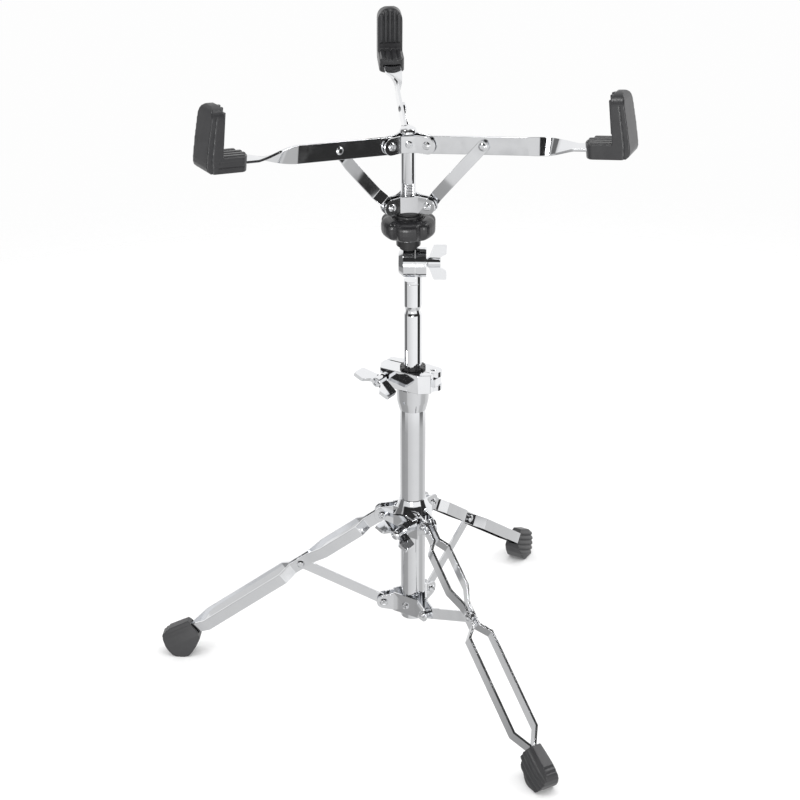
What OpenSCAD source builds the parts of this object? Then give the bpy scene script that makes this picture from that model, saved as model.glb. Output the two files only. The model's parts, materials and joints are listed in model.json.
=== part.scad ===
// Snare drum stand: double-braced folding tripod, height tube, tilter and three-arm basket.
// Millimetres, +Z up. The origin is on the base tube's axis at floor level.
// +X is to the right, +Y to the back. The stand is drawn open, at its working height.

/* [Tripod] */
// Angle of the open legs below the horizontal
leg_drop = 35; // [32:1:38]
// Length of a leg from its pivot to the mouth of its foot
leg_len = 246; // [236:1:256]
// Distance along a leg from its pivot to the brace rivet
leg_rivet_s = 104; // [100:1:108]
// Outside width of the upper loop of a leg
upper_loop_w = 22; // [18:1:26]
// Outside width of the lower loop of a leg
lower_loop_w = 27.5; // [20:0.5:30]
// Width of a leg strip's flat side
strip_w = 12; // [10:1:13]
// Thickness of the leg strips
strip_t = 2.5; // [2:0.1:2.6]
// Height of the brace pivots above the floor
brace_pivot_z = 68; // [64:1:72]
// Width of a rubber foot
foot_w = 26; // [20:1:30]

/* [Tubes] */
// Outer diameter of the base tube
base_d = 25.4; // [25.2:0.1:25.4]
// Wall of the base tube
base_wall = 1.5; // [1:0.1:2]
// Height of the base tube's lower end
base_bottom_z = 52; // [46:1:54]
// Outer diameter of the upper tube
upper_d = 17.6; // [17:0.1:17.6]
// Wall of the upper tube
upper_wall = 1.2; // [1:0.1:1.6]
// Height of the upper tube's lower end
upper_bottom_z = 145; // [140:1:180]

/* [Height clamp] */
// Height of the clamp's underside
clamp_z = 311.5; // [308:0.5:314]
// Height of the clamp body
clamp_h = 19.5; // [18:0.5:22]
// Direction in which the clamp's ears point, from +X
clamp_turn = 150; // [130:1:170]

/* [Tilter] */
// Height of the tilter's axis
tilter_z = 439; // [436:1:446]
// Diameter of the tilter's barrel
barrel_d = 28.5; // [26:0.5:28.5]
// Angle at which the basket leans forward
basket_tilt = 5.5; // [0:0.5:12]

/* [Basket] */
// Offset of the basket's axis to the right of the base tube's axis
basket_x = -4; // [-4.2:0.1:-3.8]
// Angle of the back arm from +X
basket_turn = 96.8; // [86:0.2:104]
// Diameter of the threaded shaft
shaft_d = 13.8; // [13:0.2:14]
// Angle of the open arms above the horizontal
arm_rise = 7.2; // [4:0.2:10]
// Length of an arm from its pivot to the mouth of its rubber rest
arm_len = 149.4; // [145:0.2:160]
// Width of an arm's flat side
arm_w = 16.5; // [15:0.5:16.5]
// Width of a rubber rest
rest_w = 25; // [20:1:28]
// Height of a rest's finger above the arm
finger_h = 50; // [40:1:60]
// Diameter of the basket's knob
knob_d = 52; // [46:1:54]

/* [Hidden] */

$fn = 48;
chrome = "gainsboro";
black = "dimgray";
running = 0.06;            // radial clearance of a pin or shaft that turns in its hole
cut = 1;                   // how far a cutter runs past the face it cuts

left_leg = 180;
front_leg = 300;
back_leg = 60;
left_arm_az = basket_turn + 120;
right_arm_az = basket_turn + 240;
back_arm_az = basket_turn;

base_r = base_d / 2;
upper_r = upper_d / 2;
shaft_r = shaft_d / 2;
upper_top_z = tilter_z - 20;
clamp_top_z = clamp_z + clamp_h;

// Tripod
foot_mouth_z = 30;
leg_pivot_r = 30.8;
leg_pivot_z = foot_mouth_z + leg_len * sin(leg_drop);
leg_rivet_r = leg_pivot_r + leg_rivet_s * cos(leg_drop);
leg_rivet_z = leg_pivot_z - leg_rivet_s * sin(leg_drop);
brace_pivot_r = 30;
leg_brace_len = norm([leg_rivet_r - brace_pivot_r, leg_rivet_z - brace_pivot_z]);
leg_brace_rise = atan2(leg_rivet_z - brace_pivot_z, leg_rivet_r - brace_pivot_r);
leg_brace_w = 11;
pinch_gap = 3;             // space between a leg's two strips where they are riveted
strip_y = (pinch_gap + strip_t) / 2;
leg_insert = 16;           // how far the strips reach into the foot
foot_top_w = foot_w / 2;
foot_r = leg_pivot_r + leg_len * cos(leg_drop) + 17.7;
rivet_d = 5;

// Pressed hub plates
plate_t = 2;
leg_ear = 5.25;            // distance of an ear's mid-plane from its leg's mid-plane
brace_ear = 4.8;
arm_ear = 3.3;
hub_wing_z = leg_pivot_z - 10.5;
web_gap = 0.5;             // space between a sliding hub's plates and its tube

// Basket
arm_t = 2.5;
arm_pivot_r = 20.2;
arm_pivot_z = tilter_z + 118.7;
arm_rivet_s = 54.2;
arm_rivet_r = arm_pivot_r + arm_rivet_s * cos(arm_rise);
arm_rivet_z = arm_pivot_z + arm_rivet_s * sin(arm_rise);
slide_pivot_r = 20.7;
slide_pivot_z = tilter_z + 60.6;
arm_brace_len = norm([arm_rivet_r - slide_pivot_r, arm_rivet_z - slide_pivot_z]);
arm_brace_rise = atan2(arm_rivet_z - slide_pivot_z, arm_rivet_r - slide_pivot_r);
arm_brace_w = 11;
arm_brace_side = -2.8;     // the brace's head lies on the clockwise side of its arm
arm_brace_out = -7.1;      // its middle stands clear of the top hub's ears as the basket closes
twist_start = 96;
twist_len = 44;
arm_insert = 22;
arm_rivet_d = 4.5;
knob_z = tilter_z + 28;
knob_h = 19;

// Tilter, along X
split_x = 2.6;
barrel_left = -8.7;
barrel_right = 12.9;
tilter_bolt_r = 4;

// ---------- shared shapes ----------

// Left-hand unit normal of the stretch from a to b
function stretch_normal(a, b) = [a.y - b.y, b.x - a.x] / norm(b - a);

// Mitre vector at point i of an open path
function mitre(path, i) =
    let (last = len(path) - 1,
         before = stretch_normal(path[max(i - 1, 0)], path[max(i, 1)]),
         after = stretch_normal(path[min(i, last - 1)], path[min(i + 1, last)]))
    (before + after) / (1 + before * after);

// Outline of a bent strip of thickness t centred on a path
function strip_outline(path, t) = concat(
    [for (i = [0:len(path) - 1]) path[i] + mitre(path, i) * t / 2],
    [for (i = [len(path) - 1:-1:0]) path[i] - mitre(path, i) * t / 2]);

// A round bar along Y, centred
module cross_bar(d, l) {
    rotate([90, 0, 0]) cylinder(d = d, h = l, center = true);
}

// A rivet along Y: shank, two heads, and shoulders that take up the slack beside a thin part
module rivet(d, half, shoulder_from) {
    head_h = 1.3;
    cross_bar(d, 2 * half);
    for (side = [-1, 1]) rotate([-90 * side, 0, 0]) {
        translate([0, 0, half]) cylinder(d1 = 1.75 * d, d2 = 1.1 * d, h = head_h);
        if (shoulder_from > 0)
            translate([0, 0, shoulder_from]) cylinder(d = 1.8 * d, h = half - plate_t - shoulder_from);
    }
}

// Path of one pressed hub plate from above: ear, web, ear, with the web facing +X
function plate_path(tip_r, ear, web_x) =
    let (bend_r = (web_x - ear * sin(60)) / cos(60),
         bend_y = bend_r * sin(60) - ear * cos(60),
         tip = [tip_r * cos(60) + ear * sin(60), tip_r * sin(60) - ear * cos(60)])
    [tip, [web_x, bend_y], [web_x, -bend_y], [tip.x, -tip.y]];

// One pressed plate with an ear beside each of two neighbouring pivots; z = 0 is the pivots' height
module hub_plate(pivot_r, ear_r, ear, web_x, low, high, hole_d) {
    path = plate_path(pivot_r + ear_r + 1, ear, web_x);
    web_y = path[1].y;
    flank_r = web_x;
    difference() {
        intersection() {
            translate([0, 0, -30]) linear_extrude(60) polygon(strip_outline(path, plate_t));
            union() {
                translate([web_x - plate_t, -web_y - 0.6, low])
                    cube([2 * plate_t, 2 * web_y + 1.2, high - low]);
                for (side = [-60, 60]) rotate([0, 0, side]) rotate([90, 0, 0])
                    linear_extrude(4 * ear, center = true) {
                        translate([pivot_r, 0]) circle(ear_r);
                        polygon([[flank_r, low], [pivot_r, -ear_r], [pivot_r, ear_r], [flank_r, high]]);
                    }
            }
        }
        for (side = [-60, 60]) rotate([0, 0, side]) translate([pivot_r, 0, 0]) cross_bar(hole_d, 40);
    }
}

// A pan-head screw along +Z with a cross recess; z = 0 is under the head
module pan_screw(head_d, head_h, shank_d, shank_l) {
    difference() {
        cylinder(d1 = head_d, d2 = 0.7 * head_d, h = head_h);
        for (turn = [0, 90]) rotate([0, 0, turn])
            translate([0, 0, head_h]) cube([0.5 * head_d, 1, 1.6], center = true);
    }
    translate([0, 0, -shank_l]) cylinder(d = shank_d, h = shank_l);
}

// A wing head along +Z: a round boss and two flat wings that lean outwards
module wing_head(boss_d, boss_l, size, bore_d) {
    wing_t = 3 * size;
    wing = [[2, 1], [6, 1.7], [17, 6], [17, 18], [8, 18], [4, 11], [2, 11]] * size;
    difference() {
        union() {
            cylinder(d = boss_d, h = boss_l);
            rotate([90, 0, 0]) linear_extrude(wing_t, center = true) {
                polygon(wing);
                mirror([1, 0]) polygon(wing);
            }
        }
        translate([0, 0, -cut]) cylinder(d = bore_d, h = 40);
    }
}

// ---------- frames ----------

// Local x runs down the leg from its pivot, y is tangential
module in_leg(azimuth) {
    rotate([0, 0, azimuth]) translate([leg_pivot_r, 0, leg_pivot_z]) rotate([0, leg_drop, 0]) children();
}

// Local x runs up the leg's brace from the lower hub
module in_leg_brace(azimuth) {
    rotate([0, 0, azimuth]) translate([brace_pivot_r, 0, brace_pivot_z])
        rotate([0, -leg_brace_rise, 0]) children();
}

// Local +Z points out of the hub between the left and the front leg
module in_front_web(r, z) {
    rotate([0, 0, 240]) translate([r, 0, z]) rotate([0, 90, 0]) children();
}

// Local x runs along the clamp's ears, y along its bolt
module in_clamp() {
    rotate([0, 0, clamp_turn]) children();
}

// Basket frame: upright heights about the leaning axis
module in_basket() {
    translate([basket_x, 0, tilter_z]) rotate([basket_tilt, 0, 0]) translate([0, 0, -tilter_z]) children();
}

// Local x runs out along the arm from its pivot, z is up from its centre line
module in_arm(azimuth) {
    in_basket() rotate([0, 0, azimuth]) translate([arm_pivot_r, 0, arm_pivot_z])
        rotate([0, -arm_rise, 0]) children();
}

// Local x runs up the arm's brace from the sliding hub
module in_arm_brace(azimuth) {
    in_basket() rotate([0, 0, azimuth]) translate([slide_pivot_r, 0, slide_pivot_z])
        rotate([0, -arm_brace_rise, 0]) children();
}

// ---------- base ----------

module base_tube() color(chrome) difference() {
    translate([0, 0, base_bottom_z]) cylinder(d = base_d, h = clamp_z - base_bottom_z);
    translate([0, 0, base_bottom_z - cut])
        cylinder(d = base_d - 2 * base_wall, h = clamp_z - base_bottom_z + 2 * cut);
    in_front_web(base_r - 3, brace_pivot_z) cylinder(d = 4, h = 6);
}

module tube_ferrule() color(chrome) difference() {
    rotate_extrude() polygon([
        [base_r, clamp_z - 23.5], [base_r + 0.5, clamp_z - 23.5], [base_r + 2.8, clamp_z - 14],
        [base_r + 3.6, clamp_z], [base_r, clamp_z]]);
    rotate([0, 0, 238]) translate([base_r + 0.2, 0, clamp_z - 12.7]) rotate([0, 90, 0]) cylinder(d = 3, h = 8);
}

clamp_bore_r = 11.56;
clamp_pin = [-20, -6];
knuckle_r = 8.5;
clamp_bolt_u = 23;
clamp_bolt_z = clamp_z + clamp_h / 2;
jaw_face_y = 16;
jaw_relief = 0.8;          // room for the lip that swings inwards as the jaw opens
tongue_h = clamp_h / 2.4;

// The fixed back half of the height clamp, with a fork for the jaw's hinge
module clamp_body() color(chrome) in_clamp() difference() {
    translate([0, 0, clamp_z]) union() {
        cylinder(r = 17.5, h = clamp_h);
        linear_extrude(clamp_h) polygon([[-1, -6], [33, -6], [33, -12], [30.5, -14.5], [5, -17.5], [-10, -16]]);
        linear_extrude(clamp_h) polygon([[-20, 2.5], [-1, 2.5], [-1, -16], [-10, -16], [-20, -14.5]]);
        translate(clamp_pin) cylinder(r = knuckle_r, h = clamp_h);
    }
    translate([0, -6, clamp_z - cut]) cube([40, 40, clamp_h + 2 * cut]);
    translate([-40, 2.5, clamp_z - cut]) cube([41, 40, clamp_h + 2 * cut]);
    translate([0, 0, clamp_z - cut]) cylinder(r = clamp_bore_r, h = clamp_h + 2 * cut);
    translate([clamp_pin.x, clamp_pin.y, clamp_bolt_z]) {
        cylinder(r = knuckle_r + 0.4, h = tongue_h + 0.6, center = true);
        translate([0, 7, 0]) cube([24, 14, tongue_h + 0.6], center = true);
        cylinder(d = 5, h = clamp_h + 2 * cut, center = true);
    }
    translate([clamp_bolt_u, -10, clamp_bolt_z]) cross_bar(6, 20);
}

module clamp_hinge_pin() color(chrome) in_clamp() translate([clamp_pin.x, clamp_pin.y, clamp_z])
    union() {
        cylinder(d = 5, h = clamp_h);
        translate([0, 0, clamp_h]) cylinder(d1 = 6.5, d2 = 4.5, h = 1);
    }

// The hinged front half, with an open slot for the bolt
module clamp_jaw() color(chrome) in_clamp() difference() {
    union() {
        translate([0, 0, clamp_z + 0.3]) linear_extrude(clamp_h - 0.3) difference() {
            polygon([[34, -4.6], [34, 5], [27.5, jaw_face_y], [-15, jaw_face_y], [-25, 8.5],
                     [-25, 2.8], [-5, 2.8], [-5, -4.6]]);
            circle(clamp_bore_r);
            intersection() {
                circle(clamp_bore_r + jaw_relief);
                translate([0, -20]) square([20, 24]);
            }
        }
        translate([clamp_pin.x, clamp_pin.y, clamp_bolt_z]) {
            cylinder(r = 7.5, h = tongue_h, center = true);
            translate([-3.4, 5, 0]) cube([8.2, 10, tongue_h], center = true);
        }
    }
    translate([clamp_pin.x, clamp_pin.y, clamp_bolt_z])
        cylinder(d = 5 + 2 * running, h = clamp_h, center = true);
    translate([clamp_bolt_u - 1, 0, clamp_bolt_z]) rotate([90, 0, 0]) {
        cylinder(r = 4, h = 60, center = true);
        translate([10, 0, 0]) cube([20, 8, 60], center = true);
    }
}

module clamp_bolt() color(chrome) in_clamp() translate([clamp_bolt_u, 0, clamp_bolt_z]) {
    translate([0, 4.5, 0]) cross_bar(6, 45);
    translate([0, -16.5 - 1.6, 0]) rotate([90, 0, 0]) cylinder(r = 6, h = 4, center = true, $fn = 6);
}

module clamp_wing_nut() color(chrome) in_clamp()
    translate([clamp_bolt_u, jaw_face_y + 2, clamp_bolt_z]) rotate([-90, 0, 0])
        rotate([0, 0, -24]) wing_head(10, 12.5, 1.25, 6 + 2 * running);

// The split nylon sleeve between the clamp and the upper tube
module height_bush() color(black) difference() {
    rotate_extrude() polygon([
        [upper_r + running, clamp_z + 1], [clamp_bore_r - running, clamp_z + 1],
        [clamp_bore_r - running, clamp_top_z + 0.4], [clamp_bore_r + 1, clamp_top_z + 0.4],
        [clamp_bore_r + 1, clamp_top_z + 2.4], [upper_r + running, clamp_top_z + 2.4]]);
    for (turn = [15:30:345]) rotate([0, 0, turn])
        translate([clamp_bore_r - 1, -0.8, clamp_top_z + 0.8]) cube([4, 1.6, 4]);
    rotate([0, 0, 60]) translate([0, -0.7, clamp_z - cut]) cube([16, 1.4, clamp_h + 6]);
}

module lower_hub_plates() color(chrome) translate([0, 0, brace_pivot_z])
    for (turn = [0, 120, 240]) rotate([0, 0, turn]) difference() {
        hub_plate(brace_pivot_r, 7.5, brace_ear, base_r + plate_t / 2 + 0.1, -10, 11.5, rivet_d);
        if (turn == 240) translate([base_r, 0, 0]) rotate([0, 90, 0]) cylinder(d = 4, h = 5);
    }

module lower_hub_rivets() color(chrome)
    for (leg = [left_leg, front_leg, back_leg]) rotate([0, 0, leg])
        translate([brace_pivot_r, 0, brace_pivot_z])
            rivet(rivet_d, brace_ear + plate_t / 2, strip_t / 2 + 0.15);

module lower_hub_screw() color(chrome)
    in_front_web(base_r + plate_t + 0.1, brace_pivot_z) pan_screw(8, 2.4, 4, 4);

// ---------- leg hub ----------

// The flared cap above the hub's plates, sliding on the base tube
module leg_hub_cap() color(chrome) translate([0, 0, leg_pivot_z]) rotate_extrude() polygon([
    [base_r + running, 10.8], [base_r + 6.5, 10.8], [base_r + 6.5, 12], [base_r + 1.8, 19],
    [base_r + running, 19]]);

module leg_hub_plates() color(chrome) translate([0, 0, leg_pivot_z])
    for (turn = [0, 120, 240]) rotate([0, 0, turn]) difference() {
        hub_plate(leg_pivot_r, 8.5, leg_ear, base_r + web_gap + plate_t / 2, -20, 10.8, rivet_d);
        if (turn == 240) translate([base_r, 0, hub_wing_z - leg_pivot_z]) rotate([0, 90, 0])
            cylinder(d = 6 + 2 * running, h = 5);
    }

module leg_hub_rivets() color(chrome)
    for (leg = [left_leg, front_leg, back_leg]) rotate([0, 0, leg])
        translate([leg_pivot_r, 0, leg_pivot_z]) rivet(rivet_d, leg_ear + plate_t / 2, 0);

hub_web_face = base_r + web_gap + plate_t;

module leg_hub_nut() color(chrome) in_front_web(hub_web_face, hub_wing_z) difference() {
    cylinder(r = 7, h = 6, $fn = 6);
    translate([0, 0, -cut]) cylinder(d = 6 + 2 * running, h = 10);
}

module leg_hub_wing_bolt() color(chrome) in_front_web(base_r + 0.3, hub_wing_z) union() {
    cylinder(d = 6, h = 16);
    translate([0, 0, 11.5]) rotate([0, 0, 64]) wing_head(10, 13, 1.2, 6);
}

// ---------- legs ----------

// One strip of a leg, on the side that side (1 or -1) gives
module leg_strip(azimuth, side) {
    upper_y = (upper_loop_w - strip_t) / 2;
    lower_y = (lower_loop_w - strip_t) / 2;
    path = [[0, strip_y], [20, strip_y], [29, upper_y], [leg_rivet_s - 30, upper_y],
            [leg_rivet_s - 12, strip_y], [leg_rivet_s + 11, strip_y], [leg_rivet_s + 22, lower_y],
            [leg_len - 20, lower_y], [leg_len - 4, strip_y], [leg_len + leg_insert, strip_y]];
    color(chrome) in_leg(azimuth) difference() {
        union() {
            linear_extrude(strip_w, center = true)
                polygon(strip_outline([for (point = path) [point.x, side * point.y]], strip_t));
            translate([0, side * strip_y, 0]) cross_bar(strip_w, strip_t);
        }
        translate([0, side * strip_y, 0]) cross_bar(rivet_d + 2 * running, 3 * strip_t);
        translate([leg_rivet_s, side * strip_y, 0]) cross_bar(rivet_d, 3 * strip_t);
    }
}

// The two halves of the rivet that joins a leg to its brace
module leg_rivet(azimuth) color(chrome) in_leg(azimuth) translate([leg_rivet_s, 0, 0])
    for (side = [-1, 1]) rotate([-90 * side, 0, 0]) translate([0, 0, pinch_gap / 2]) {
        cylinder(d = rivet_d, h = strip_t);
        translate([0, 0, strip_t]) cylinder(d1 = 8.5, d2 = 5, h = 1.5);
    }

module leg_brace(azimuth) color(chrome) in_leg_brace(azimuth) difference() {
    union() {
        translate([0, -strip_t / 2, -leg_brace_w / 2]) cube([leg_brace_len, strip_t, leg_brace_w]);
        cross_bar(leg_brace_w, strip_t);
        translate([leg_brace_len, 0, 0]) cross_bar(leg_brace_w, strip_t);
    }
    cross_bar(rivet_d + 2 * running, 3 * strip_t);
    translate([leg_brace_len, 0, 0]) cross_bar(rivet_d, 3 * strip_t);
}

// A rubber foot that flares to its sole, with a flat facet on the floor and a socket for the strips
module foot(azimuth) color(black) difference() {
    rotate([0, 0, azimuth]) translate([foot_r, 0, 0]) intersection() {
        rotate([90, 0, 0]) linear_extrude(foot_w, center = true)
            polygon([[-25, 22], [-13, 41], [15, 28], [17, 20], [13, 9], [5, 0], [-7, 0], [-14, 3]]);
        rotate([90, 0, 90]) linear_extrude(60, center = true) polygon([
            [-foot_w / 2, -cut], [foot_w / 2, -cut], [foot_w / 2, 13], [foot_top_w / 2, 42],
            [-foot_top_w / 2, 42], [-foot_w / 2, 13]]);
    }
    in_leg(azimuth) translate([leg_len - 10, -strip_y - strip_t / 2, -strip_w / 2])
        cube([leg_insert + 10, 2 * strip_y + strip_t, strip_w]);
}

module left_leg_strip_a() leg_strip(left_leg, 1);
module left_leg_strip_b() leg_strip(left_leg, -1);
module left_leg_rivet() leg_rivet(left_leg);
module left_leg_brace() leg_brace(left_leg);
module left_foot() foot(left_leg);
module front_leg_strip_a() leg_strip(front_leg, 1);
module front_leg_strip_b() leg_strip(front_leg, -1);
module front_leg_rivet() leg_rivet(front_leg);
module front_leg_brace() leg_brace(front_leg);
module front_foot() foot(front_leg);
module back_leg_strip_a() leg_strip(back_leg, 1);
module back_leg_strip_b() leg_strip(back_leg, -1);
module back_leg_rivet() leg_rivet(back_leg);
module back_leg_brace() leg_brace(back_leg);
module back_foot() foot(back_leg);

// ---------- upper tube and tilter ----------

crimp_z = tilter_z - 47.5;
crimp_line = [[0, -4.5], [-0.9, -3], [-1.5, -1], [-1.5, 1], [-0.9, 3], [0, 4.5]];

// A rod drawn in by the crimp that holds the tilter's plug in the tube
module crimped_rod(r, low, high) rotate_extrude() polygon(concat(
    [[0, low], [r, low]], [for (p = crimp_line) [r + p.x, crimp_z + p.y]], [[r, high], [0, high]]));

module upper_tube() color(chrome) difference() {
    crimped_rod(upper_r, upper_bottom_z, upper_top_z);
    crimped_rod(upper_r - upper_wall, upper_bottom_z - cut, upper_top_z + cut);
}

// The half barrel on the tube: barrel, neck and the plug inside the tube
module tilter_lower() color(chrome) difference() {
    union() {
        translate([split_x, 0, tilter_z]) rotate([0, 90, 0]) cylinder(d = barrel_d, h = barrel_right - split_x);
        intersection() {
            translate([0, 0, upper_top_z]) cylinder(d = upper_d, h = 20);
            translate([split_x, -10, upper_top_z]) cube([10, 20, 20]);
        }
        translate([0, 0, upper_top_z]) cylinder(d = upper_d, h = 2.5);
        crimped_rod(upper_r - upper_wall, upper_top_z - 38, upper_top_z);
    }
    translate([0, 0, tilter_z]) rotate([0, 90, 0])
        cylinder(r = tilter_bolt_r + running, h = 60, center = true);
}

// The half barrel under the basket
module tilter_upper() color(chrome) in_basket() difference() {
    translate([barrel_left - basket_x, 0, tilter_z]) rotate([0, 90, 0])
        cylinder(d = barrel_d, h = split_x - 0.3 - barrel_left);
    translate([0, 0, tilter_z]) rotate([0, 90, 0]) cylinder(r = tilter_bolt_r, h = 60, center = true);
    translate([0, 0, tilter_z + 8]) cylinder(r = 4, h = 10);
}

module tilter_bolt() color(chrome) translate([0, 0, tilter_z]) rotate([0, 90, 0]) {
    translate([0, 0, barrel_left]) cylinder(r = tilter_bolt_r, h = 33);
    translate([0, 0, barrel_left - 4.6]) cylinder(r1 = 10, r2 = 14, h = 4.6);
}

module tilter_wing_nut() color(chrome) translate([barrel_right + 1, 0, tilter_z]) rotate([0, 90, 0])
    wing_head(10.5, 12, 1, 2 * (tilter_bolt_r + running));

// ---------- basket shaft and hubs ----------

stem_z = tilter_z + barrel_d / 2;
collar_top_z = knob_z - 3;

// A stepped plastic collar between the barrel and the knob
module stem_collar() color(black) in_basket() difference() {
    union() {
        translate([0, 0, stem_z + 0.4]) cylinder(r = 8.5, h = 4);
        translate([0, 0, stem_z + 4]) cylinder(r = 11.5, h = collar_top_z - stem_z - 4);
    }
    translate([0, 0, stem_z - cut]) cylinder(r = 4, h = 14);
}

module basket_shaft() color(chrome) in_basket() union() {
    translate([0, 0, tilter_z + 8]) cylinder(r = 4, h = collar_top_z - tilter_z - 8);
    translate([0, 0, collar_top_z]) cylinder(d = shaft_d, h = arm_pivot_z + 8.5 - collar_top_z);
}

module shaft_cap() color(chrome) in_basket() translate([0, 0, arm_pivot_z + 8.5]) rotate_extrude()
    polygon([[0, 0], [8, 0], [8, 1.5], [7, 4], [4.5, 5.6], [0, 6.2]]);

module top_hub_plates() color(chrome) in_basket() translate([0, 0, arm_pivot_z])
    for (turn = [0, 120, 240]) rotate([0, 0, basket_turn + 60 + turn]) difference() {
        hub_plate(arm_pivot_r, 8, arm_ear, shaft_r + plate_t / 2 + 0.1, -8, 8, arm_rivet_d);
        if (turn == 120) translate([shaft_r, 0, 0]) rotate([0, 90, 0]) cylinder(d = 3, h = 5);
    }

module top_hub_rivets() color(chrome) in_basket()
    for (arm = [left_arm_az, right_arm_az, back_arm_az]) rotate([0, 0, arm])
        translate([arm_pivot_r, 0, arm_pivot_z])
            rivet(arm_rivet_d, arm_ear + plate_t / 2, arm_t / 2 + 0.1);

module top_hub_screw() color(chrome) in_basket() rotate([0, 0, basket_turn + 180])
    translate([shaft_r + plate_t + 0.1, 0, arm_pivot_z]) rotate([0, 90, 0]) pan_screw(7, 2, 3, 2);

module sliding_hub_plates() color(chrome) in_basket() translate([0, 0, slide_pivot_z])
    for (turn = [0, 120, 240]) rotate([0, 0, basket_turn + 60 + turn])
        hub_plate(slide_pivot_r, 7.5, arm_ear, shaft_r + plate_t / 2 + 0.4, -8.4, 8, arm_rivet_d);

module sliding_hub_rivets() color(chrome) in_basket()
    for (arm = [left_arm_az, right_arm_az, back_arm_az]) rotate([0, 0, arm])
        translate([slide_pivot_r, 0, slide_pivot_z])
            rivet(arm_rivet_d, arm_ear + plate_t / 2, arm_t / 2 + 0.1);

module sliding_hub_washer() color(black) in_basket() difference() {
    translate([0, 0, slide_pivot_z - 10]) cylinder(r = 13, h = 1.6);
    cylinder(r = shaft_r + 0.1, h = slide_pivot_z);
}

// An eight-sided knob with rounded shoulders and a raised collar, threaded on the shaft
module basket_knob() color(black) in_basket() difference() {
    union() {
        intersection() {
            translate([0, 0, knob_z]) cylinder(r = knob_d / 2 + 1.4, h = knob_h, $fn = 8);
            rotate_extrude() polygon([
                [0, knob_z], [knob_d / 2 - 6, knob_z], [knob_d / 2 - 2, knob_z + 2],
                [knob_d / 2, knob_z + 6], [knob_d / 2, knob_z + 13], [knob_d / 2 - 2, knob_z + 16.5],
                [knob_d / 2 - 6, knob_z + knob_h], [0, knob_z + knob_h]]);
        }
        translate([0, 0, knob_z + knob_h]) cylinder(r = 14, h = slide_pivot_z - 10.3 - knob_z - knob_h);
    }
    translate([0, 0, knob_z - cut]) cylinder(r = shaft_r + running, h = knob_h + 10);
}

// ---------- arms ----------

// A flat arm that twists to lie flat inside its rubber rest
module arm(azimuth) color(chrome) in_arm(azimuth) difference() {
    union() {
        translate([0, -arm_t / 2, -arm_w / 2]) cube([twist_start, arm_t, arm_w]);
        cross_bar(arm_w, arm_t);
        translate([twist_start, 0, 0]) rotate([0, 90, 0])
            linear_extrude(twist_len, twist = 90, slices = 16, $fn = 4)
                square([arm_w, arm_t], center = true);
        translate([twist_start + twist_len, -arm_w / 2, -arm_t / 2])
            cube([arm_len + arm_insert - twist_start - twist_len, arm_w, arm_t]);
    }
    cross_bar(arm_rivet_d + 2 * running, 3 * arm_t);
    translate([arm_rivet_s, 0, 0]) cross_bar(arm_rivet_d, 3 * arm_t);
}

// The arm's half of the rivet that joins it to its brace
module arm_rivet(azimuth) color(chrome) in_arm(azimuth) translate([arm_rivet_s, arm_t / 2, 0])
    rotate([-90, 0, 0]) {
        translate([0, 0, -arm_t]) cylinder(d = arm_rivet_d, h = arm_t);
        cylinder(d1 = 7.5, d2 = 4.5, h = 1.3);
    }

// A bent brace, between the sliding hub's ears below and beside the arm above
module arm_brace(azimuth) {
    path = [[0, 0], [9.5, 0], [17, 0.85 * arm_brace_out], [31, arm_brace_out],
            [arm_brace_len - 24, arm_brace_out], [arm_brace_len - 12, arm_brace_side],
            [arm_brace_len, arm_brace_side]];
    color(chrome) in_arm_brace(azimuth) difference() {
        union() {
            linear_extrude(arm_brace_w, center = true) polygon(strip_outline(path, arm_t));
            cross_bar(arm_brace_w, arm_t);
            translate([arm_brace_len, arm_brace_side, 0]) cross_bar(arm_brace_w, arm_t);
            translate([arm_brace_len, arm_brace_side - arm_t / 2, 0]) rotate([90, 0, 0])
                cylinder(d1 = 7.5, d2 = 4.5, h = 1.3);
        }
        cross_bar(arm_rivet_d + 2 * running, 3 * arm_t);
    }
}

rest_corner = 7;

// A rubber rest: a flat seat with a rounded inner end, and a finger with an arched top
module rest(azimuth) color(black) in_arm(azimuth) translate([arm_len, 0, 0]) difference() {
    intersection() {
        rotate([90, 0, 0]) linear_extrude(rest_w, center = true) polygon([
            [0, -6.8], [38, -6.8], [42, -3], [41, 20], [38.5, finger_h - 5], [35, finger_h],
            [30, finger_h], [27, finger_h - 4], [26.5, 7.7], [0, 7.7]]);
        rotate([90, 0, 90]) linear_extrude(50) union() {
            translate([0, finger_h - rest_w / 2]) circle(rest_w / 2);
            translate([-rest_w / 2, -10]) square([rest_w, finger_h - rest_w / 2 + 10]);
        }
        translate([0, 0, -10]) linear_extrude(finger_h + 20) hull() {
            for (side = [-1, 1])
                translate([rest_corner, side * (rest_w / 2 - rest_corner)]) circle(rest_corner);
            translate([20, -rest_w / 2]) square([30, rest_w]);
        }
    }
    translate([-cut, -arm_w / 2, -arm_t / 2]) cube([arm_insert + cut, arm_w, arm_t]);
}

module left_arm() arm(left_arm_az);
module left_arm_rivet() arm_rivet(left_arm_az);
module left_arm_brace() arm_brace(left_arm_az);
module left_rest() rest(left_arm_az);
module right_arm() arm(right_arm_az);
module right_arm_rivet() arm_rivet(right_arm_az);
module right_arm_brace() arm_brace(right_arm_az);
module right_rest() rest(right_arm_az);
module back_arm() arm(back_arm_az);
module back_arm_rivet() arm_rivet(back_arm_az);
module back_arm_brace() arm_brace(back_arm_az);
module back_rest() rest(back_arm_az);

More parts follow.
